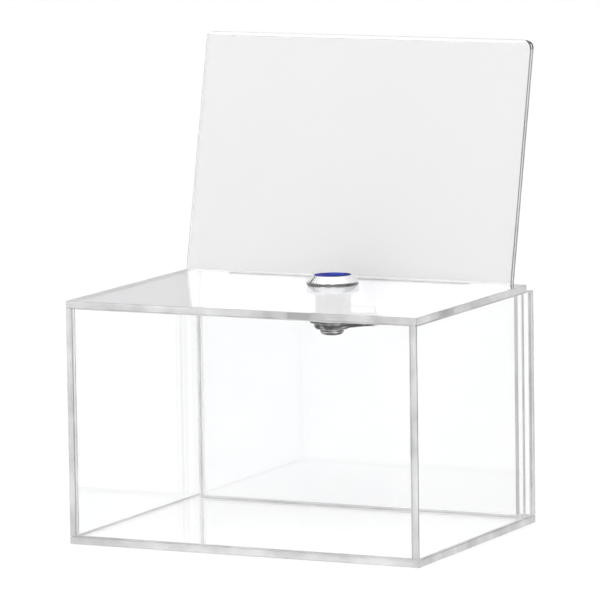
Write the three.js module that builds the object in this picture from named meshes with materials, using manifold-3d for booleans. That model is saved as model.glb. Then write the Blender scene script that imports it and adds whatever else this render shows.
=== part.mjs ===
// Clear acrylic donation box: a box with a double rear wall, a lift-off lid with a leaning sign
// holder whose tongue drops between the two rear walls, and a cam lock in the lid.
// Millimetres, +Z up, front towards -Y. The origin is the centre of the base's underside.
import * as THREE from 'three';
import { mergeVertices } from 'three/addons/utils/BufferGeometryUtils.js';
import Module from 'manifold-3d';

// ---- driving dimensions -----------------------------------------------------------------------
const BOX_WIDTH = 157;          // outside, along X
const BOX_DEPTH = 115.8;        // outside, along Y
const LID_TOP = 100.2;          // height of the closed lid's top face
const SHEET = 3;                // outer acrylic sheet
const INNER_SHEET = 2;          // inner rear wall
const GLUE = 0.1;               // cemented joint line
const CHANNEL = 4;              // from the lid's rear edge to the rear wall

const SIGN_WIDTH = 149.5;       // the sign holder is flush with the box's left side
const SIGN_LEG = 1.5;           // thickness of each leg of the folded sheet
const SIGN_GAP = 0.6;           // pocket between the legs
const SIGN_LEAN = 13.4;         // degrees back from upright
const SIGN_RISE = 99.8;         // straight leaning length, without the fold
const SIGN_BEND_RADIUS = 8;
const SIGN_BEND_START = 1.7;    // below the lid's top face
const SIGN_CORNER_RIGHT = 4;    // corner radii of the sheet's top corners
const SIGN_CORNER_LEFT = 1.6;
const TONGUE_LEFT = -71.2;      // the tongue clears the left wall
const TONGUE_BOTTOM = 4;
const SIGN_STEP = 0.3;          // from the left wall's top to the sheet above it
const INSERT_THICKNESS = 0.3;
const INSERT_MARGIN = 0.4;      // from the insert's edges to the sheet's edges
const INSERT_FLOOR = 0.2;       // from the insert to the pocket's floor

const SLOT_LENGTH = 110;        // donation slot in the lid
const SLOT_WIDTH = 5;
const SLOT_TO_REAR = 3.1;       // strip of lid behind the slot

const LOCK_Y = 30.1;
const HEAD_RADIUS = 10.8;
const HEAD_TOP_RADIUS = 8.2;
const HEAD_HEIGHT = 3.4;
const HEAD_RIM = 0.8;
const FACE_RECESS = 0.5;        // depth of the head's face inside its lip
const FACE_LIP = 0.35;          // width of the lip
const BARREL_RADIUS = 7.7;
const BARREL_FLATS = 6.9;       // half the distance across the barrel's flats
const BARREL_LENGTH = 15;       // below the lid's top face
const HOLE_CLEARANCE = 0.2;
const PLUG_RADIUS = 5.5;
const PLUG_CLEARANCE = 0.1;
const PLUG_FLANGE_RADIUS = 6.2;
const PLUG_FLANGE = 1.3;
const PLUG_TAIL = 7;            // across the square tail
const TAIL_ROUND = 4.4;         // the tail's corners are turned to this radius
const FILM_THICKNESS = 0.15;
const FILM_MARGIN = 0.1;        // from the film to the lip
const NUT_ACROSS_FLATS = 19;
const NUT_HEIGHT = 2.8;
const NUT_WASHER_RADIUS = 10.6;
const NUT_WASHER = 0.6;
const KEYWAY_WIDTH = 1.6;
const KEYWAY_HEIGHT = 6.4;
const KEYWAY_BOTTOM = -11.4;
const WAFER_COUNT = 5;
const WAFER_PITCH = 1.9;
const WAFER_FIRST = -1.6;       // height of the top wafer
const WAFER_THICKNESS = 0.8;
const WAFER_SLOT = 1.15;
const WAFER_HALF_WIDTH = 2.6;
const WAFER_HALF_LENGTH = 4.6;
const WAFER_ROOM = 0.15;        // beside a wafer in the plug
const LUG_REACH = 3.9;          // from the lock's axis to the end of a wafer's side lug
const LUG_START = -0.6;         // the lug's sides, along Y
const LUG_END = 0.8;
const SPRING_POCKET_START = -3.5;
const SPRING_POCKET_END = 1.3;
const SPRING_POCKET_REACH = 4.1;
const KEY_HOLE_HALF_WIDTH = 1.6; // opening in a wafer for the key
const KEY_HOLE_HALF_HEIGHT = 2.9;
const SPRING_AXIS = 3.3;        // from the lock's axis to the spring's
const SPRING_START = -3.15;
const SPRING_RADIUS = 0.36;     // of the coil's centre line
const SPRING_WIRE = 0.1;        // radius of the wire
const SPRING_TURNS = 4;
const SPRING_SPAN = 2.0;
const CAM_REACH = 19.5;         // from the lock's axis to the tip
const CAM_HUB = 7.5;            // half width at the axis
const CAM_TIP = 4;              // half width at the tip
const CAM_THICKNESS = 1.8;
const CAM_TURN = 45;            // degrees from pointing to the rear, towards +X
const STACK_GAP = 0.15;         // between the plates on the plug's tail
const STOP_WASHER = 1.1;
const STOP_RADIUS = 9.3;
const TOOTH_WASHER = 0.7;
const TOOTH_COUNT = 16;
const TOOTH_TIP = 7;             // radii of the teeth's tips and roots
const TOOTH_ROOT = 5.9;
const SCREW_HEAD_RADIUS = 5;
const SCREW_HEAD = 2.4;
const SCREW_RADIUS = 1.9;
const SCREW_BORE = 2.1;
const SCREW_DEPTH = 5.2;        // of the tapped bore in the plug's tail
const SCREW_CROWN = 1.5;        // height of the rounded part of the screw's head
const RECESS_REACH = 1.9;       // the screw's cross recess
const RECESS_HALF_WIDTH = 0.5;
const RECESS_DEPTH = 1.3;
const TAIL_CLEARANCE = 0.3;     // across the square holes of the plates on the tail
const WINDOW_HALF_WIDTH = 10.2; // keeper window for the cam in the inner rear wall
const WINDOW_MARGIN = 1.5;      // above and below the cam

const ROUND = 48;               // sides of a turned piece
const SMALL_ROUND = 24;

// ---- derived places ---------------------------------------------------------------------------
const HALF_WIDTH = BOX_WIDTH / 2;
const FRONT = -BOX_DEPTH / 2;
const REAR = BOX_DEPTH / 2;
const WALL_TOP = LID_TOP - SHEET;
const LID_REAR = REAR - SHEET - CHANNEL;
const SIGN_FRONT = LID_REAR + GLUE;
const SIGN_THICKNESS = 2 * SIGN_LEG + SIGN_GAP;
const SIGN_LEFT = -HALF_WIDTH;
const SIGN_RIGHT = SIGN_LEFT + SIGN_WIDTH;
const INNER_WALL_REAR = LID_REAR - 0.5;
const FACE_HEIGHT = HEAD_HEIGHT - FACE_RECESS;
const FACE_RADIUS = HEAD_TOP_RADIUS - FACE_LIP;
const SLOT_CENTRE_Y = LID_REAR - SLOT_TO_REAR - SLOT_WIDTH / 2;
const STOP_TOP = -BARREL_LENGTH - STACK_GAP;
const CAM_TOP = STOP_TOP - STOP_WASHER - STACK_GAP;
const TOOTH_TOP = CAM_TOP - CAM_THICKNESS - STACK_GAP;
const SCREW_TOP = TOOTH_TOP - TOOTH_WASHER - STACK_GAP;

// ---- joining and cutting ----------------------------------------------------------------------
const wasm = await Module();
wasm.setup();

function toSolid(geometry) {
  const bare = geometry.clone();
  bare.deleteAttribute('normal');
  bare.deleteAttribute('uv');
  const merged = mergeVertices(bare, 1e-4);
  return new wasm.Manifold(new wasm.Mesh({
    numProp: 3,
    vertProperties: new Float32Array(merged.attributes.position.array),
    triVerts: new Uint32Array(merged.index.array),
  }));
}

function toGeometry(solid) {
  const mesh = solid.getMesh();
  const geometry = new THREE.BufferGeometry();
  geometry.setAttribute('position', new THREE.BufferAttribute(mesh.vertProperties, 3));
  geometry.setIndex(new THREE.BufferAttribute(mesh.triVerts, 1));
  geometry.computeVertexNormals();
  return geometry;
}

function cut(geometry, ...tools) {
  return toGeometry(tools.reduce((solid, tool) => solid.subtract(toSolid(tool)), toSolid(geometry)));
}

function common(geometry, tool) {
  return toGeometry(toSolid(geometry).intersect(toSolid(tool)));
}

function join(geometry, ...others) {
  return toGeometry(others.reduce((solid, other) => solid.add(toSolid(other)), toSolid(geometry)));
}

// ---- basic shapes -----------------------------------------------------------------------------
function block(x0, x1, y0, y1, z0, z1) {
  const geometry = new THREE.BoxGeometry(x1 - x0, y1 - y0, z1 - z0);
  return geometry.translate((x0 + x1) / 2, (y0 + y1) / 2, (z0 + z1) / 2);
}

// A turned piece about Z from (radius, height) pairs that start and end on the axis or close on themselves.
function turned(profile, sides = ROUND) {
  const points = profile.map(([radius, height]) => new THREE.Vector2(radius, height));
  return new THREE.LatheGeometry(points, sides).rotateX(Math.PI / 2);
}

function disc(radius, z0, z1, sides = ROUND) {
  return turned([[0, z0], [radius, z0], [radius, z1], [0, z1]], sides);
}

function ring(inner, outer, z0, z1, sides = ROUND) {
  return turned([[inner, z0], [outer, z0], [outer, z1], [inner, z1], [inner, z0]], sides);
}

function plate(shape, z0, z1) {
  const options = { depth: z1 - z0, bevelEnabled: false, curveSegments: 12 };
  return new THREE.ExtrudeGeometry(shape, options).translate(0, 0, z0);
}

function finish(name, geometry, material) {
  const mesh = new THREE.Mesh(geometry, material);
  mesh.name = name;
  return mesh;
}

// ---- materials --------------------------------------------------------------------------------
const acrylic = () => new THREE.MeshStandardMaterial({
  color: 0xeef2f3, roughness: 0.06, metalness: 0, transparent: true, opacity: 0.35,
});
const paper = () => new THREE.MeshStandardMaterial({ color: 0xefefef, roughness: 0.75, metalness: 0 });
const chrome = () => new THREE.MeshStandardMaterial({ color: 0xc9cacc, roughness: 0.12, metalness: 1 });
const zinc = () => new THREE.MeshStandardMaterial({ color: 0x8d8f92, roughness: 0.35, metalness: 1 });
const brass = () => new THREE.MeshStandardMaterial({ color: 0xb99b58, roughness: 0.3, metalness: 1 });
const steel = () => new THREE.MeshStandardMaterial({ color: 0x77797c, roughness: 0.3, metalness: 1 });
const blueFilm = () => new THREE.MeshStandardMaterial({ color: 0x2447c8, roughness: 0.2, metalness: 0 });

// ---- the box ----------------------------------------------------------------------------------
function boxPieces() {
  const inside = HALF_WIDTH - SHEET - GLUE;
  const bottom = SHEET + GLUE;
  const top = WALL_TOP - GLUE;
  const innerFront = INNER_WALL_REAR - INNER_SHEET;
  const innerWall = cut(
    block(TONGUE_LEFT, inside, innerFront, INNER_WALL_REAR, bottom, top),
    keeperWindow(innerFront),
  );
  return [
    finish('base_plate', block(-HALF_WIDTH, HALF_WIDTH, FRONT, REAR, 0, SHEET), acrylic()),
    finish('left_wall', block(-HALF_WIDTH, -HALF_WIDTH + SHEET, FRONT, REAR, bottom, top), acrylic()),
    finish('right_wall', block(HALF_WIDTH - SHEET, HALF_WIDTH, FRONT, REAR, bottom, top), acrylic()),
    finish('front_wall', block(-inside, inside, FRONT, FRONT + SHEET, bottom, top), acrylic()),
    finish('rear_wall', block(-inside, inside, REAR - SHEET, REAR, bottom, top), acrylic()),
    finish('inner_rear_wall', innerWall, acrylic()),
  ];
}

// The opening that the cam's tip swings into.
function keeperWindow(innerFront) {
  const high = LID_TOP + CAM_TOP + WINDOW_MARGIN;
  const low = LID_TOP + CAM_TOP - CAM_THICKNESS - WINDOW_MARGIN;
  return block(-WINDOW_HALF_WIDTH, WINDOW_HALF_WIDTH, innerFront - 1, INNER_WALL_REAR + 1, low, high);
}

// ---- the lid and its sign holder --------------------------------------------------------------
function lidPlate() {
  const hole = barrelShape(BARREL_RADIUS + HOLE_CLEARANCE, BARREL_FLATS + HOLE_CLEARANCE, -SHEET - 1, 1);
  hole.translate(0, LOCK_Y, LID_TOP);
  return cut(block(-HALF_WIDTH, HALF_WIDTH, FRONT, LID_REAR, WALL_TOP, LID_TOP), hole, donationSlot());
}

function donationSlot() {
  const end = SLOT_WIDTH / 2;
  const reach = SLOT_LENGTH / 2 - end;
  const shape = new THREE.Shape();
  shape.absarc(reach, 0, end, -Math.PI / 2, Math.PI / 2);
  shape.absarc(-reach, 0, end, Math.PI / 2, 3 * Math.PI / 2);
  return plate(shape, WALL_TOP - 1, LID_TOP + 1).translate(0, SLOT_CENTRE_Y, 0);
}

// A point of the folded sheet's section: how far along the lean, and how far behind its front face.
function alongLean(distance, behind) {
  const lean = THREE.MathUtils.degToRad(SIGN_LEAN);
  const radius = SIGN_BEND_RADIUS - behind;
  const y = SIGN_FRONT + SIGN_BEND_RADIUS - radius * Math.cos(lean) + distance * Math.sin(lean);
  const z = LID_TOP - SIGN_BEND_START + radius * Math.sin(lean) + distance * Math.cos(lean);
  return new THREE.Vector2(y, z);
}

function signSection() {
  const lean = THREE.MathUtils.degToRad(SIGN_LEAN);
  const bendY = SIGN_FRONT + SIGN_BEND_RADIUS;
  const bendZ = LID_TOP - SIGN_BEND_START;
  const inner = SIGN_BEND_RADIUS - SIGN_THICKNESS;
  const fold = alongLean(SIGN_RISE, SIGN_THICKNESS / 2);
  const shape = new THREE.Shape();
  shape.moveTo(SIGN_FRONT + SIGN_THICKNESS, TONGUE_BOTTOM);
  shape.lineTo(SIGN_FRONT + SIGN_THICKNESS, bendZ);
  shape.absarc(bendY, bendZ, inner, Math.PI, Math.PI - lean, true);
  shape.absarc(fold.x, fold.y, SIGN_THICKNESS / 2, -lean, Math.PI - lean);
  shape.absarc(bendY, bendZ, SIGN_BEND_RADIUS, Math.PI - lean, Math.PI);
  shape.lineTo(SIGN_FRONT, TONGUE_BOTTOM);
  shape.holes.push(pocketSection(fold, lean));
  return shape;
}

// The pocket for the insert, from just above the bend to the inside of the fold.
function pocketSection(fold, lean) {
  const floor = alongLean(0, SIGN_LEG);
  const floorBack = alongLean(0, SIGN_LEG + SIGN_GAP);
  const pocket = new THREE.Path();
  pocket.moveTo(floorBack.x, floorBack.y);
  pocket.lineTo(floor.x, floor.y);
  pocket.absarc(fold.x, fold.y, SIGN_GAP / 2, Math.PI - lean, -lean, true);
  return pocket;
}

// Turns a section drawn as (y, z) into a solid that runs along X.
function alongX(shape, x0, x1) {
  const options = { depth: x1 - x0, bevelEnabled: false, curveSegments: 10 };
  const toWorld = new THREE.Matrix4().makeBasis(
    new THREE.Vector3(0, 1, 0),
    new THREE.Vector3(0, 0, 1),
    new THREE.Vector3(1, 0, 0),
  );
  return new THREE.ExtrudeGeometry(shape, options).applyMatrix4(toWorld).translate(x0, 0, 0);
}

// The sheet as seen from the front: rounded top corners, and a step that clears the left wall.
function signOutline(inset = 0) {
  const top = alongLean(SIGN_RISE, SIGN_THICKNESS / 2).y + SIGN_THICKNESS / 2;
  const shape = new THREE.Shape();
  shape.moveTo(TONGUE_LEFT, TONGUE_BOTTOM - 1);
  shape.lineTo(SIGN_RIGHT - inset, TONGUE_BOTTOM - 1);
  shape.lineTo(SIGN_RIGHT - inset, top - SIGN_CORNER_RIGHT);
  outlineCorner(shape, SIGN_RIGHT - SIGN_CORNER_RIGHT, top - SIGN_CORNER_RIGHT, SIGN_CORNER_RIGHT - inset, 0);
  outlineCorner(shape, SIGN_LEFT + SIGN_CORNER_LEFT, top - SIGN_CORNER_LEFT, SIGN_CORNER_LEFT - inset, 1);
  shape.lineTo(SIGN_LEFT + inset, WALL_TOP + SIGN_STEP);
  shape.lineTo(TONGUE_LEFT, WALL_TOP + SIGN_STEP);
  return plate(shape, -BOX_DEPTH, BOX_DEPTH).rotateX(Math.PI / 2);
}

function outlineCorner(shape, x, y, radius, quarter) {
  shape.absarc(x, y, radius, quarter * Math.PI / 2, (quarter + 1) * Math.PI / 2);
}

function signHolder() {
  const sheet = alongX(signSection(), SIGN_LEFT - 1, SIGN_RIGHT + 1);
  return common(sheet, signOutline());
}

function signInsert() {
  const front = SIGN_LEG + (SIGN_GAP - INSERT_THICKNESS) / 2;
  const corners = [
    alongLean(INSERT_FLOOR, front),
    alongLean(INSERT_FLOOR, front + INSERT_THICKNESS),
    alongLean(SIGN_RISE, front + INSERT_THICKNESS),
    alongLean(SIGN_RISE, front),
  ];
  const blank = alongX(new THREE.Shape(corners), SIGN_LEFT - 1, SIGN_RIGHT + 1);
  return common(blank, signOutline(INSERT_MARGIN));
}

// ---- the lock, about its own axis, with Z = 0 on the lid's top face ---------------------------
function barrelShape(radius, flats, z0, z1) {
  return common(disc(radius, z0, z1), block(-flats, flats, -radius - 1, radius + 1, z0 - 1, z1 + 1));
}

function lockHousing() {
  const bore = PLUG_RADIUS + PLUG_CLEARANCE;
  const counterbore = PLUG_FLANGE_RADIUS + PLUG_CLEARANCE;
  const step = FACE_HEIGHT - PLUG_FLANGE - 2 * PLUG_CLEARANCE;
  const head = turned([
    [0, GLUE],
    [HEAD_RADIUS, GLUE],
    [HEAD_RADIUS, HEAD_RIM],
    [HEAD_TOP_RADIUS, HEAD_HEIGHT],
    [0, HEAD_HEIGHT],
  ]);
  const barrel = barrelShape(BARREL_RADIUS, BARREL_FLATS, -BARREL_LENGTH, GLUE + 0.5);
  const hollow = turned([
    [0, -BARREL_LENGTH - 1],
    [bore, -BARREL_LENGTH - 1],
    [bore, step],
    [counterbore, step],
    [counterbore, FACE_HEIGHT],
    [FACE_RADIUS, FACE_HEIGHT],
    [FACE_RADIUS, HEAD_HEIGHT + 1],
    [0, HEAD_HEIGHT + 1],
  ]);
  return cut(join(head, barrel), hollow);
}

function lockNut() {
  const corner = NUT_ACROSS_FLATS / 2 / Math.cos(Math.PI / 6);
  const top = -SHEET - NUT_WASHER - 2 * GLUE;
  const hex = new THREE.CylinderGeometry(corner, corner, NUT_HEIGHT, 6);
  hex.rotateX(Math.PI / 2).translate(0, 0, top - NUT_HEIGHT / 2);
  return cut(hex, disc(BARREL_RADIUS + HOLE_CLEARANCE, top - NUT_HEIGHT - 1, top + 1));
}

function nutWasher() {
  const top = -SHEET - GLUE;
  return ring(BARREL_RADIUS + HOLE_CLEARANCE, NUT_WASHER_RADIUS, top - NUT_WASHER, top);
}

function squareTail(size, z0, z1) {
  const half = size / 2;
  const round = TAIL_ROUND + (size - PLUG_TAIL) / 2;
  return common(block(-half, half, -half, half, z0, z1), disc(round, z0 - 1, z1 + 1));
}

function waferHeight(index) {
  return WAFER_FIRST - index * WAFER_PITCH;
}

// The room in the plug for one wafer, its side lug and its spring.
function waferRoom(index) {
  const z = waferHeight(index);
  const half = WAFER_SLOT / 2;
  const side = WAFER_HALF_WIDTH + WAFER_ROOM;
  return [
    block(-side, side, -PLUG_RADIUS - 1, PLUG_RADIUS + 1, z - half, z + half),
    block(WAFER_ROOM, SPRING_POCKET_REACH, SPRING_POCKET_START, SPRING_POCKET_END, z - half, z + half),
  ];
}

function lockPlug() {
  const flangeTop = FACE_HEIGHT - PLUG_CLEARANCE;
  const flangeBottom = flangeTop - PLUG_FLANGE;
  const body = turned([
    [0, -BARREL_LENGTH],
    [PLUG_RADIUS, -BARREL_LENGTH],
    [PLUG_RADIUS, flangeBottom],
    [PLUG_FLANGE_RADIUS, flangeBottom],
    [PLUG_FLANGE_RADIUS, flangeTop],
    [0, flangeTop],
  ]);
  const tailEnd = TOOTH_TOP + STACK_GAP;
  const solid = join(body, squareTail(PLUG_TAIL, tailEnd, -BARREL_LENGTH + 1));
  const keyHalf = KEYWAY_WIDTH / 2;
  const keyReach = KEYWAY_HEIGHT / 2;
  const keyway = block(-keyHalf, keyHalf, -keyReach, keyReach, KEYWAY_BOTTOM, HEAD_HEIGHT + 1);
  const bore = disc(SCREW_BORE, tailEnd - 1, tailEnd + SCREW_DEPTH, SMALL_ROUND);
  const rooms = Array.from({ length: WAFER_COUNT }, (_, index) => waferRoom(index)).flat();
  return cut(solid, keyway, bore, ...rooms);
}

function wafer(index) {
  const z = waferHeight(index);
  const half = WAFER_THICKNESS / 2;
  const body = block(
    -WAFER_HALF_WIDTH, WAFER_HALF_WIDTH, -WAFER_HALF_LENGTH, WAFER_HALF_LENGTH, z - half, z + half,
  );
  const lug = block(KEY_HOLE_HALF_WIDTH, LUG_REACH, LUG_START, LUG_END, z - half, z + half);
  const keyHole = block(
    -KEY_HOLE_HALF_WIDTH, KEY_HOLE_HALF_WIDTH, -KEY_HOLE_HALF_HEIGHT, KEY_HOLE_HALF_HEIGHT, z - 1, z + 1,
  );
  return cut(join(body, lug), keyHole);
}

// A coil spring along Y that presses on the wafer's lug.
function waferSpring(index) {
  const points = [];
  const steps = SPRING_TURNS * 8;
  for (let step = 0; step <= steps; step += 1) {
    const turn = 2 * Math.PI * SPRING_TURNS * step / steps;
    points.push(new THREE.Vector3(
      SPRING_AXIS + SPRING_RADIUS * Math.cos(turn),
      SPRING_START + SPRING_SPAN * step / steps,
      waferHeight(index) + SPRING_RADIUS * Math.sin(turn),
    ));
  }
  const wire = new THREE.Shape();
  wire.absarc(0, 0, SPRING_WIRE, 0, 2 * Math.PI);
  const extrudePath = new THREE.CatmullRomCurve3(points);
  return new THREE.ExtrudeGeometry(wire, { steps: steps * 2, extrudePath, curveSegments: 6 });
}

function stopWasher() {
  const base = disc(STOP_RADIUS, STOP_TOP - STOP_WASHER, STOP_TOP);
  return cut(base, squareTail(PLUG_TAIL + TAIL_CLEARANCE, STOP_TOP - STOP_WASHER - 1, STOP_TOP + 1));
}

// The cam is drawn pointing to the rear; its end is an arc about the lock's axis.
function lockCam() {
  const tipAngle = Math.asin(CAM_TIP / CAM_REACH);
  const hubAngle = Math.asin((CAM_HUB - CAM_TIP) / CAM_REACH);
  const shape = new THREE.Shape();
  shape.absarc(0, 0, CAM_HUB, Math.PI - hubAngle, 2 * Math.PI + hubAngle);
  shape.absarc(0, 0, CAM_REACH, Math.PI / 2 - tipAngle, Math.PI / 2 + tipAngle);
  const blank = plate(shape, CAM_TOP - CAM_THICKNESS, CAM_TOP);
  return cut(blank, squareTail(PLUG_TAIL + TAIL_CLEARANCE, CAM_TOP - CAM_THICKNESS - 1, CAM_TOP + 1));
}

// A lock washer with outside teeth under the screw's head.
function toothWasher() {
  const shape = new THREE.Shape();
  for (let tooth = 0; tooth < 2 * TOOTH_COUNT; tooth += 1) {
    const radius = tooth % 2 ? TOOTH_ROOT : TOOTH_TIP;
    const angle = Math.PI * tooth / TOOTH_COUNT;
    shape[tooth ? 'lineTo' : 'moveTo'](radius * Math.cos(angle), radius * Math.sin(angle));
  }
  const blank = plate(shape, TOOTH_TOP - TOOTH_WASHER, TOOTH_TOP);
  return cut(blank, disc(SCREW_BORE, TOOTH_TOP - TOOTH_WASHER - 1, TOOTH_TOP + 1, SMALL_ROUND));
}

function camScrew() {
  const bottom = SCREW_TOP - SCREW_HEAD;
  const tip = TOOTH_TOP + STACK_GAP + SCREW_DEPTH - 0.3;
  const body = turned([
    [0, bottom],
    [0.56 * SCREW_HEAD_RADIUS, bottom],
    [0.78 * SCREW_HEAD_RADIUS, bottom + 0.2 * SCREW_CROWN],
    [0.92 * SCREW_HEAD_RADIUS, bottom + 0.53 * SCREW_CROWN],
    [SCREW_HEAD_RADIUS, bottom + SCREW_CROWN],
    [SCREW_HEAD_RADIUS, SCREW_TOP],
    [SCREW_RADIUS, SCREW_TOP],
    [SCREW_RADIUS, tip],
    [0, tip],
  ], SMALL_ROUND);
  const half = RECESS_HALF_WIDTH;
  const reach = RECESS_REACH;
  const top = bottom + RECESS_DEPTH;
  return cut(
    body,
    block(-half, half, -reach, reach, bottom - 1, top),
    block(-reach, reach, -half, half, bottom - 1, top),
  );
}

function lockPieces() {
  const fixed = new THREE.Group();
  fixed.position.set(0, LOCK_Y, LID_TOP);
  const filmBottom = FACE_HEIGHT + GLUE;
  const filmRadius = FACE_RADIUS - FILM_MARGIN;
  fixed.add(
    finish('lock_housing', lockHousing(), chrome()),
    finish('lock_nut', lockNut(), zinc()),
    finish('lock_nut_washer', nutWasher(), zinc()),
    finish('lock_face_film', disc(filmRadius, filmBottom, filmBottom + FILM_THICKNESS), blueFilm()),
  );
  const turning = new THREE.Group();
  turning.rotation.z = -THREE.MathUtils.degToRad(CAM_TURN);
  turning.add(
    finish('lock_plug', lockPlug(), brass()),
    finish('stop_washer', stopWasher(), steel()),
    finish('lock_cam', lockCam(), steel()),
    finish('cam_tooth_washer', toothWasher(), steel()),
    finish('cam_screw', camScrew(), steel()),
  );
  for (let index = 0; index < WAFER_COUNT; index += 1) {
    turning.add(finish(`wafer_${index + 1}`, wafer(index), brass()));
    turning.add(finish(`wafer_spring_${index + 1}`, waferSpring(index), steel()));
  }
  fixed.add(turning);
  return fixed;
}

// ---- assembly ---------------------------------------------------------------------------------
const group = new THREE.Group();
group.add(
  ...boxPieces(),
  finish('lid_plate', lidPlate(), acrylic()),
  finish('sign_holder', signHolder(), acrylic()),
  finish('sign_insert', signInsert(), paper()),
  lockPieces(),
);

export default group;
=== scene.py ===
"""Clear acrylic donation box with a cam lock and a leaning sign holder, on a white studio floor."""

import math

import bmesh
import bpy
from mathutils import Matrix, Vector


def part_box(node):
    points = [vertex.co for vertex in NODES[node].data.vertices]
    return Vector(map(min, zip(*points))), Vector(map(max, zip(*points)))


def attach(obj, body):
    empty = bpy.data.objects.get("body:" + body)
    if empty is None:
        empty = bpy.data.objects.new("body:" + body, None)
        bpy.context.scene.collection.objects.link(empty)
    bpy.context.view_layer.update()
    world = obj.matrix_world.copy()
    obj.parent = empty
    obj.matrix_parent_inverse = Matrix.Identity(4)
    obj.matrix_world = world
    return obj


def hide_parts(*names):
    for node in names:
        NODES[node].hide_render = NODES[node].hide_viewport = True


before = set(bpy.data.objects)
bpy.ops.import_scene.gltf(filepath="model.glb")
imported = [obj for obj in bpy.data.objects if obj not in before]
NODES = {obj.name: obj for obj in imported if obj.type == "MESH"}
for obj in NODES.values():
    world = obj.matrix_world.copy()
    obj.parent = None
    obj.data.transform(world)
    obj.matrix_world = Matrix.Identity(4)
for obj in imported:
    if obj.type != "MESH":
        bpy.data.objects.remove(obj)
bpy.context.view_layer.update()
MM = 0.001

# ---- driving values ----------------------------------------------------------------------------
CAMERA_PLACE = (1.0627, -2.1975, 0.4194)
CAMERA_AZIMUTH = 25.82          # degrees from looking along +Y
CAMERA_ELEVATION = 7.53
CAMERA_ROLL = -0.83
CAMERA_LENS = 360.8             # millimetres on a 36 mm sensor
FLOOR_RADIUS = 30.0
FLOOR_HEIGHT = -0.2 * MM         # just below the box, so that the two faces stay apart
WORLD_STRENGTH = 1.52
HORIZON_LEVEL = 0.48            # brightness near the horizon, as a share of the open sky's
# dark rings round the studio, as sines of their elevation
FLAGS = ((0.22, 0.56), (0.6, 0.66), (0.72, 0.76))
FLAG_SOFTNESS = 0.02
FLAG_DARKNESS = 0.97
LIGHT_BOUNCES = 24
SOFTBOX_SIZE = 1.6
ACRYLIC_IOR = 1.49
SHEET_ARRIS = 0.28 * MM         # broken corner along each sheet's edges
SIGN_ARRIS = 0.5 * MM           # wider, on the sign holder's thin legs
METAL_ARRIS = 0.22 * MM
TOOTH_ARRIS = 0.14 * MM
PLUG_ARRIS = 0.08 * MM
THIN_ARRIS = 0.05 * MM          # on the film and the insert
THREAD_PITCH = 1.0 * MM
THREAD_DEPTH = 0.42 * MM
THREAD_ROWS = 8                 # rings of points in one turn of the thread
THREAD_TOP = -3.2 * MM          # heights here are from the lid's top face
THREAD_LEAD = 0.25 * MM         # plain run below the thread
HOUSING_SIDES = 144
HEAD_RADIUS = 10.8 * MM
HEAD_FOOT = 0.1 * MM            # underside of the head
HEAD_RIM = 0.7 * MM             # top of the head's upright rim
HEAD_TOP_RADIUS = 8.2 * MM
LIP_RADIUS = 7.85 * MM          # inside the head's lip
COUNTERBORE_RADIUS = 6.3 * MM   # for the plug's flange
COUNTERBORE_DEPTH = 1.5 * MM
BORE_RADIUS = 5.6 * MM
BARREL_RADIUS = 7.7 * MM
BARREL_END_RADIUS = 7.1 * MM    # the end is chamfered to this
FLATS_SHARE = 6.9 / 10.8        # half the distance across the flats, as a share of the head's radius
FLATS_START = 6.9 * MM          # only wider rings are cut by the flats
FACE_RECESS = 0.5 * MM          # depth of the lock's face inside its lip
# painted shade: the lock head's chrome is darkened by this factor over the lowest FOOT_HEIGHT of the head
FOOT_PAINTED_SHADE = 0.3                # darkening of the lock head's foot
FOOT_HEIGHT = 0.75 * MM

LOCK_AXIS = (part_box("lock_housing")[0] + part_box("lock_housing")[1]) / 2
LID_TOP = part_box("lid_plate")[1].z


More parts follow.
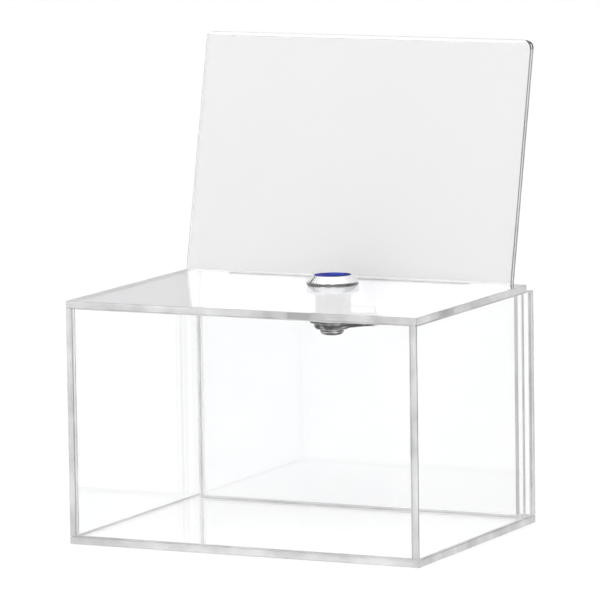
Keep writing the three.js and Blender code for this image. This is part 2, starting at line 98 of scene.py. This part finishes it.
# ---- node helpers ------------------------------------------------------------------------------
class Nodes:
    """Short calls for building one material's node tree."""

    def __init__(self, name):
        self.material = bpy.data.materials.new(name)
        self.material.use_nodes = True
        self.tree = self.material.node_tree
        self.tree.nodes.clear()

    def add(self, kind, **settings):
        node = self.tree.nodes.new(kind)
        for key, value in settings.items():
            if hasattr(node, key):
                setattr(node, key, value)
            else:
                node.inputs[key.replace("_", " ")].default_value = value
        return node

    def link(self, source, target, output=0, socket=0):
        self.tree.links.new(source.outputs[output], target.inputs[socket])
        return target

    def coordinates(self, stretch=(1, 1, 1)):
        place = self.add("ShaderNodeTexCoord")
        mapping = self.add("ShaderNodeMapping")
        mapping.inputs["Scale"].default_value = stretch
        return self.link(place, mapping, "Object", "Vector")

    def noise(self, scale, detail=4.0, stretch=(1, 1, 1), roughness=0.55):
        texture = self.add("ShaderNodeTexNoise", Scale=scale, Detail=detail, Roughness=roughness)
        return self.link(self.coordinates(stretch), texture, "Vector", "Vector")

    def ramp(self, source, stops, output=0):
        ramp = self.add("ShaderNodeValToRGB")
        elements = ramp.color_ramp.elements
        while len(elements) < len(stops):
            elements.new(0.5)
        for element, (place, colour) in zip(elements, stops):
            element.position = place
            element.color = (*colour, 1)
        return self.link(source, ramp, output, "Fac")

    def spread(self, source, low, high, output=0):
        remap = self.add("ShaderNodeMapRange", To_Min=low, To_Max=high)
        return self.link(source, remap, output, "Value")

    def bump(self, source, strength, distance, output=0):
        bump = self.add("ShaderNodeBump", Strength=strength, Distance=distance)
        return self.link(source, bump, output, "Height")

    def with_clear_shadow(self, shader, tint):
        """Shadow and diffuse rays pass straight through, so that the piece casts no shadow on the floor."""
        path = self.add("ShaderNodeLightPath")
        either = self.add("ShaderNodeMath", operation="MAXIMUM")
        self.tree.links.new(path.outputs["Is Shadow Ray"], either.inputs[0])
        self.tree.links.new(path.outputs["Is Diffuse Ray"], either.inputs[1])
        clear = self.add("ShaderNodeBsdfTransparent")
        clear.inputs["Color"].default_value = (*tint, 1)
        mix = self.link(either, self.add("ShaderNodeMixShader"), 0, "Fac")
        self.link(shader, mix, 0, 1)
        return self.link(clear, mix, 0, 2)

    def done(self, shader):
        out = self.add("ShaderNodeOutputMaterial")
        self.link(shader, out, 0, "Surface")
        return self.material


def grey(value):
    return (value, value, value)


def principled(nodes, **values):
    shader = nodes.add("ShaderNodeBsdfPrincipled")
    for key, value in values.items():
        shader.inputs[key.replace("_", " ")].default_value = value
    return shader


# ---- materials ---------------------------------------------------------------------------------
def acrylic_material(name, tints, roughness, waviness):
    """Clear cast sheet: faintly uneven tint, faint handling haze, and slight waviness of the face."""
    nodes = Nodes(name)
    shader = principled(nodes, Transmission_Weight=1.0, IOR=ACRYLIC_IOR)
    tint = nodes.ramp(nodes.noise(9.0, 3.0), [(0.35, tints[0]), (0.65, tints[1])])
    nodes.link(tint, shader, "Color", "Base Color")
    haze = nodes.spread(nodes.noise(38.0, 6.0, (1, 1, 0.35)), *roughness)
    nodes.link(haze, shader, 0, "Roughness")
    nodes.link(nodes.bump(nodes.noise(22.0, 2.0), waviness, 0.0004), shader, 0, "Normal")
    return nodes.done(nodes.with_clear_shadow(shader, grey(0.99)))


def edge_material(name, shades, clear, roughness):
    """A sheet's cut and polished edge: part clear, part grey, with fine marks across its length."""
    nodes = Nodes(name)
    glass = principled(nodes, Transmission_Weight=1.0, IOR=ACRYLIC_IOR, Roughness=roughness)
    body = principled(nodes, Roughness=0.25, IOR=ACRYLIC_IOR)
    marks = nodes.noise(60.0, 5.0, (1, 1, 1))
    colour = nodes.ramp(marks, [(0.3, shades[0]), (0.5, shades[1]), (0.72, shades[2])])
    nodes.link(colour, glass, "Color", "Base Color")
    nodes.link(colour, body, "Color", "Base Color")
    nodes.link(nodes.bump(nodes.noise(420.0, 3.0), 0.12, 0.0003), body, 0, "Normal")
    mix = nodes.add("ShaderNodeMixShader", Fac=clear)
    nodes.link(body, mix, 0, 1)
    nodes.link(glass, mix, 0, 2)
    return nodes.done(nodes.with_clear_shadow(mix, grey(0.9)))


def paper_material():
    nodes = Nodes("grey_card")
    shader = principled(nodes, Roughness=0.72, Specular_IOR_Level=0.3)
    fibre = nodes.noise(900.0, 6.0, (1, 1, 3))
    nodes.link(nodes.ramp(fibre, [(0.3, grey(0.895)), (0.7, grey(0.915))]), shader, "Color", "Base Color")
    nodes.link(nodes.bump(fibre, 0.08, 0.0001), shader, 0, "Normal")
    return nodes.done(nodes.with_clear_shadow(shader, grey(0.95)))


def metal_material(
    name, dark, light, roughness, grain=(1, 1, 1), scale=260.0, bump=0.05, stops=(0.3, 0.7)
):
    """Plated or machined metal whose tone and roughness vary along its grain."""
    nodes = Nodes(name)
    shader = principled(nodes, Metallic=1.0)
    tone = nodes.noise(scale * 0.25, 4.0, grain)
    fine = nodes.noise(scale, 6.0, grain)
    nodes.link(nodes.ramp(tone, [(stops[0], dark), (stops[1], light)]), shader, "Color", "Base Color")
    nodes.link(nodes.spread(fine, *roughness), shader, 0, "Roughness")
    nodes.link(nodes.bump(fine, bump, 0.0002), shader, 0, "Normal")
    return nodes.done(shader)


def chrome_material():
    """Bright plating, darkened towards the head's foot by painted shade."""
    nodes = Nodes("chrome")
    shader = principled(nodes, Metallic=1.0)
    fine = nodes.noise(180.0, 6.0)
    tone = nodes.ramp(nodes.noise(45.0), [(0.3, grey(0.74)), (0.7, grey(0.82))])
    split = nodes.link(nodes.coordinates(), nodes.add("ShaderNodeSeparateXYZ"), "Vector")
    # painted shade: a dark band at the head's foot, where it meets the lid
    foot = nodes.add(
        "ShaderNodeMapRange",
        From_Min=LID_TOP + FOOT_HEIGHT,
        From_Max=LID_TOP + 0.6 * FOOT_HEIGHT,
    )
    nodes.link(split, foot, "Z", "Value")
    shade = nodes.add("ShaderNodeMixRGB", blend_type="MULTIPLY", Color2=(*grey(FOOT_PAINTED_SHADE), 1))
    nodes.link(foot, shade, 0, "Fac")
    nodes.link(tone, shade, "Color", "Color1")
    nodes.link(shade, shader, 0, "Base Color")
    nodes.link(nodes.spread(fine, 0.03, 0.09), shader, 0, "Roughness")
    nodes.link(nodes.bump(fine, 0.02, 0.0002), shader, 0, "Normal")
    return nodes.done(shader)


def film_material():
    """Thin blue protective film: glossy, with darker and lighter patches where it lifts."""
    nodes = Nodes("blue_film")
    shader = principled(nodes, Roughness=0.45, IOR=1.3, Specular_IOR_Level=0.03)
    patches = nodes.noise(170.0, 3.0)
    stops = [(0.35, (0.0, 0.001, 0.02)), (0.5, (0.001, 0.008, 0.24)), (0.68, (0.003, 0.05, 0.5))]
    nodes.link(nodes.ramp(patches, stops), shader, "Color", "Base Color")
    nodes.link(nodes.bump(patches, 0.25, 0.0003), shader, 0, "Normal")
    return nodes.done(shader)


FACE = acrylic_material("acrylic_face", ((0.972, 0.974, 0.977), (0.986, 0.987, 0.989)), (0.0, 0.008), 0.002)
# The lid is the same acrylic as the other sheets, tinted darker: its darker tone is painted shade.
PAINTED_SHADE_LID_FACE = acrylic_material("acrylic_lid_painted_shade", ((0.84, 0.84, 0.862), (0.87, 0.87, 0.89)), (0.0, 0.02), 0.004)
EDGE = edge_material("acrylic_edge", (grey(0.56), grey(0.75), grey(0.91)), 0.6, 0.1)
# Broken corners use a darker copy of the edge material: painted shade for the dark lines along the sheets'
# corners.
ARRIS = edge_material("acrylic_arris_painted_shade", (grey(0.4), grey(0.56), grey(0.74)), 0.35, 0.2)
# The sign holder's broken corners are darker still: painted shade for the dark outlines along its legs.
SIGN_ARRIS_PAINTED_SHADE = edge_material("sign_arris_painted_shade", (grey(0.12), grey(0.25), grey(0.45)), 0.2, 0.2)
PAPER = paper_material()
CHROME = chrome_material()
ZINC = metal_material("zinc_plate", (0.42, 0.43, 0.45), (0.6, 0.61, 0.64), (0.22, 0.4))
BRASS = metal_material("lock_brass", (0.5, 0.38, 0.17), (0.68, 0.53, 0.28), (0.18, 0.36), (1, 1, 8))
DARK_STEEL = metal_material(
    "dark_steel", grey(0.003), grey(0.45), (0.08, 0.2), (1, 1, 3), 1500.0, stops=(0.47, 0.68)
)
BRIGHT_STEEL = metal_material("bright_steel", grey(0.45), grey(0.9), (0.1, 0.25), scale=420.0)
SPRING = metal_material("spring_steel", grey(0.4), grey(0.55), (0.15, 0.3), scale=800.0)
FILM = film_material()


# ---- pieces ------------------------------------------------------------------------------------
def link_piece(name, mesh, body, node):
    piece = bpy.data.objects.new(name, mesh)
    bpy.context.scene.collection.objects.link(piece)
    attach(piece, body)
    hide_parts(node)
    return piece


def welded_copy(node, name):
    """The CAD node's shape with shared corners and no lines across its flat faces."""
    mesh = bpy.data.meshes.new(name)
    work = bmesh.new()
    work.from_mesh(NODES[node].data)
    bmesh.ops.remove_doubles(work, verts=work.verts, dist=0.001 * MM)
    bmesh.ops.dissolve_limit(
        work, angle_limit=math.radians(0.5), verts=work.verts, edges=work.edges, delimit={"NORMAL"}
    )
    bmesh.ops.recalc_face_normals(work, faces=work.faces)
    work.to_mesh(mesh)
    work.free()
    return mesh


def weigh_normals(piece):
    weighted = piece.modifiers.new("weighted", "WEIGHTED_NORMAL")
    weighted.weight = 100
    weighted.keep_sharp = True


def apply_modifiers(piece):
    bpy.context.view_layer.update()
    graph = bpy.context.evaluated_depsgraph_get()
    mesh = bpy.data.meshes.new_from_object(piece.evaluated_get(graph))
    piece.modifiers.clear()
    piece.data = mesh


def bevelled(node, body, materials, arris, segments=2, sharp=28, arris_index=-1):
    """A new piece for a CAD node, with its sharp edges broken and its round faces smooth."""
    name = f"{node}_look"
    piece = link_piece(name, welded_copy(node, name), body, node)
    for material in materials:
        piece.data.materials.append(material)
    piece.data.shade_smooth()
    piece.data.set_sharp_from_angle(angle=math.radians(sharp + 20))
    bevel = piece.modifiers.new("arris", "BEVEL")
    bevel.width = arris
    bevel.segments = segments
    bevel.limit_method = "ANGLE"
    bevel.angle_limit = math.radians(sharp)
    bevel.use_clamp_overlap = True
    bevel.material = arris_index
    weigh_normals(piece)
    apply_modifiers(piece)
    return piece


def sheet(node, body, edge_axes, face=FACE, broken=ARRIS, arris=SHEET_ARRIS):
    """An acrylic sheet: clear faces, grey polished edges that face along edge_axes, and broken corners
    darkened with painted shade.
    """
    piece = bevelled(node, body, (face, EDGE, broken), arris, 1, 28, 2)
    for polygon in piece.data.polygons:
        if polygon.material_index == 2:
            continue
        along = max(range(3), key=lambda axis: abs(polygon.normal[axis]))
        flat = abs(polygon.normal[along]) > 0.999
        polygon.material_index = 1 if flat and along in edge_axes else 0
    return piece


def build_sheets():
    sheet("base_plate", "box", (0, 1))
    sheet("left_wall", "box", (1, 2))
    sheet("right_wall", "box", (1, 2))
    for node in ("front_wall", "rear_wall", "inner_rear_wall"):
        sheet(node, "box", (0, 2))
    sheet("lid_plate", "lid", (0, 1), PAINTED_SHADE_LID_FACE)
    sheet("sign_holder", "lid", (0,), FACE, SIGN_ARRIS_PAINTED_SHADE, SIGN_ARRIS)


def housing_section(bottom, top):
    """The lock housing's section as (radius, height, threaded), from the bore's foot round to its top."""
    face = top - FACE_RECESS
    counterbore = face - COUNTERBORE_DEPTH
    section = [
        (BORE_RADIUS, bottom + 0.2 * MM, 0),
        (BORE_RADIUS + 0.2 * MM, bottom, 0),
        (BARREL_END_RADIUS, bottom, 0),
    ]
    rows = int((THREAD_TOP - bottom) / (THREAD_PITCH / THREAD_ROWS))
    for row in range(rows + 1):
        section.append((BARREL_RADIUS, bottom + THREAD_LEAD + (THREAD_TOP - bottom) * row / rows, 1))
    section += [
        (BARREL_RADIUS, HEAD_FOOT, 0),
        (HEAD_RADIUS - 0.2 * MM, HEAD_FOOT, 0),
        (HEAD_RADIUS - 0.02 * MM, HEAD_FOOT + 0.1 * MM, 0),
        (HEAD_RADIUS, HEAD_FOOT + 0.25 * MM, 0),
        (HEAD_RADIUS, HEAD_RIM, 0),
        (HEAD_RADIUS - 0.12 * MM, HEAD_RIM + 0.22 * MM, 0),
        (HEAD_TOP_RADIUS + 0.12 * MM, top - 0.16 * MM, 0),
        (HEAD_TOP_RADIUS, top - 0.04 * MM, 0),
        (HEAD_TOP_RADIUS - 0.1 * MM, top, 0),
        (LIP_RADIUS + 0.08 * MM, top, 0),
        (LIP_RADIUS, top - 0.08 * MM, 0),
        (LIP_RADIUS, face, 0),
        (COUNTERBORE_RADIUS + 0.2 * MM, face, 0),
        (COUNTERBORE_RADIUS, face - 0.15 * MM, 0),
        (COUNTERBORE_RADIUS, counterbore, 0),
        (BORE_RADIUS, counterbore, 0),
    ]
    return section


def housing_ring(work, radius, height, threaded, flats):
    """One ring of points, drawn in by the helical thread and cut by the barrel's two flats."""
    ring = []
    for side in range(HOUSING_SIDES):
        angle = 2 * math.pi * side / HOUSING_SIDES
        here = radius
        if threaded:
            phase = (height / THREAD_PITCH - side / HOUSING_SIDES) % 1.0
            here -= THREAD_DEPTH * abs(2 * phase - 1)
        if height < HEAD_FOOT and radius > FLATS_START:
            here = min(here, flats / max(abs(math.cos(angle)), 1e-6))
        ring.append(work.verts.new((here * math.cos(angle), here * math.sin(angle), height)))
    return ring


def build_housing():
    """The lock's head and threaded barrel, turned from one section with a helical thread and two flats."""
    low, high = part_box("lock_housing")
    flats = (high.x - low.x) / 2 * FLATS_SHARE
    section = housing_section(low.z - LID_TOP, high.z - LID_TOP)
    work = bmesh.new()
    rings = [housing_ring(work, *point, flats) for point in section]
    for index, ring in enumerate(rings):
        after = rings[(index + 1) % len(rings)]
        for side in range(HOUSING_SIDES):
            nxt = (side + 1) % HOUSING_SIDES
            work.faces.new((ring[side], ring[nxt], after[nxt], after[side]))
    bmesh.ops.recalc_face_normals(work, faces=work.faces)
    bmesh.ops.translate(work, verts=work.verts, vec=(LOCK_AXIS.x, LOCK_AXIS.y, LID_TOP))
    mesh = bpy.data.meshes.new("lock_housing_look")
    work.to_mesh(mesh)
    work.free()
    mesh.materials.append(CHROME)
    piece = link_piece("lock_housing_look", mesh, "lid", "lock_housing")
    mesh.shade_smooth()
    mesh.set_sharp_from_angle(angle=math.radians(32))
    weigh_normals(piece)
    apply_modifiers(piece)
    return piece


def build_lock():
    build_housing()
    bevelled("lock_nut", "lid", (ZINC,), METAL_ARRIS)
    bevelled("lock_nut_washer", "lid", (ZINC,), METAL_ARRIS / 2)
    bevelled("lock_face_film", "lid", (FILM,), THIN_ARRIS)
    bevelled("lock_plug", "lock", (BRASS,), PLUG_ARRIS, 1)
    steels = (DARK_STEEL, BRIGHT_STEEL)
    for node in ("stop_washer", "lock_cam", "cam_screw"):
        bevelled(node, "lock", steels, METAL_ARRIS, arris_index=1)
    bevelled("cam_tooth_washer", "lock", steels, TOOTH_ARRIS, 1, arris_index=1)


def build_insert():
    bevelled("sign_insert", "insert", (PAPER,), THIN_ARRIS, 1)


def finish_kept_nodes():
    """Wafers and springs keep their CAD shape and get a worked metal."""
    for name, node in NODES.items():
        if name.startswith("wafer_spring"):
            material = SPRING
        elif name.startswith("wafer"):
            material = BRASS
        else:
            continue
        node.data.materials.clear()
        node.data.materials.append(material)


# ---- studio ------------------------------------------------------------------------------------
def build_floor():
    work = bmesh.new()
    bmesh.ops.create_circle(work, cap_ends=True, radius=FLOOR_RADIUS, segments=96)
    mesh = bpy.data.meshes.new("floor")
    work.to_mesh(mesh)
    work.free()
    floor = bpy.data.objects.new("floor", mesh)
    floor.location.z = FLOOR_HEIGHT
    bpy.context.scene.collection.objects.link(floor)
    nodes = Nodes("floor_white")
    shader = principled(nodes, Roughness=0.9, Specular_IOR_Level=0.0)
    tone = nodes.ramp(nodes.noise(3.0), [(0.3, grey(0.935)), (0.7, grey(0.945))])
    nodes.link(tone, shader, "Color", "Base Color")
    mesh.materials.append(nodes.done(shader))


def build_world():
    """A bright studio: dimmer near the horizon, with dark rings round it higher up."""
    world = bpy.data.worlds.new("studio")
    bpy.context.scene.world = world
    world.use_nodes = True
    tree = world.node_tree
    tree.nodes.clear()

    def math_node(operation, *values):
        node = tree.nodes.new("ShaderNodeMath")
        node.operation = operation
        for socket, value in zip(node.inputs, values):
            if isinstance(value, (int, float)):
                socket.default_value = value
            else:
                tree.links.new(value, socket)
        return node.outputs[0]

    def step(value, low, high):
        node = tree.nodes.new("ShaderNodeMapRange")
        node.interpolation_type = "SMOOTHSTEP"
        node.inputs["From Min"].default_value = low
        node.inputs["From Max"].default_value = high
        tree.links.new(value, node.inputs["Value"])
        return node.outputs[0]

    place = tree.nodes.new("ShaderNodeTexCoord")
    split = tree.nodes.new("ShaderNodeSeparateXYZ")
    tree.links.new(place.outputs["Generated"], split.inputs[0])
    z = split.outputs["Z"]
    rings = [
        math_node("MULTIPLY", step(z, bottom, bottom + FLAG_SOFTNESS), step(z, top, top - FLAG_SOFTNESS))
        for bottom, top in FLAGS
    ]
    dark = rings[0]
    for ring in rings[1:]:
        dark = math_node("MAXIMUM", dark, ring)
    open_sky = math_node("MULTIPLY_ADD", step(z, 0.2, 0.14), HORIZON_LEVEL - 1.0, 1.0)
    strength = math_node("MULTIPLY", open_sky, math_node("MULTIPLY_ADD", dark, -FLAG_DARKNESS, 1.0))
    background = tree.nodes.new("ShaderNodeBackground")
    background.inputs["Color"].default_value = (1, 1, 1, 1)
    tree.links.new(math_node("MULTIPLY", strength, WORLD_STRENGTH), background.inputs["Strength"])
    out = tree.nodes.new("ShaderNodeOutputWorld")
    tree.links.new(background.outputs[0], out.inputs["Surface"])


def add_softbox(name, place, size, power):
    light = bpy.data.lights.new(name, "AREA")
    light.shape = "SQUARE"
    light.size = size
    light.energy = power
    lamp = bpy.data.objects.new(name, light)
    lamp.location = place
    lamp.rotation_euler = (-Vector(place)).to_track_quat("-Z", "Y").to_euler()
    bpy.context.scene.collection.objects.link(lamp)


def build_camera():
    azimuth, elevation, roll = map(math.radians, (CAMERA_AZIMUTH, CAMERA_ELEVATION, CAMERA_ROLL))
    back = Vector((
        math.sin(azimuth) * math.cos(elevation), -math.cos(azimuth) * math.cos(elevation), math.sin(elevation)
    ))
    level = Vector((math.cos(azimuth), math.sin(azimuth), 0))
    upright = back.cross(level)
    right = math.cos(roll) * level + math.sin(roll) * upright
    up = back.cross(right)
    camera = bpy.data.objects.new("camera", bpy.data.cameras.new("camera"))
    camera.data.lens = CAMERA_LENS
    camera.data.clip_end = 100
    turned = Matrix((right, up, back)).transposed().to_4x4()
    camera.matrix_world = Matrix.Translation(CAMERA_PLACE) @ turned
    bpy.context.scene.collection.objects.link(camera)
    bpy.context.scene.camera = camera


def set_light_paths():
    """Lets light through every sheet that stands behind another."""
    cycles = bpy.context.scene.cycles
    cycles.max_bounces = LIGHT_BOUNCES
    cycles.transmission_bounces = LIGHT_BOUNCES
    cycles.glossy_bounces = LIGHT_BOUNCES
    cycles.transparent_max_bounces = 2 * LIGHT_BOUNCES


def set_colour():
    view = bpy.context.scene.view_settings
    view.view_transform = "Standard"
    view.look = "None"
    view.exposure = 0.0
    view.gamma = 1.0


build_camera()
build_world()
build_floor()
add_softbox("key_left", (-1.8, -4.0, 3.3), SOFTBOX_SIZE, 40)
add_softbox("key_right", (2.0, -3.9, 3.4), SOFTBOX_SIZE, 30)
build_sheets()
build_insert()
build_lock()
finish_kept_nodes()
set_light_paths()
set_colour()
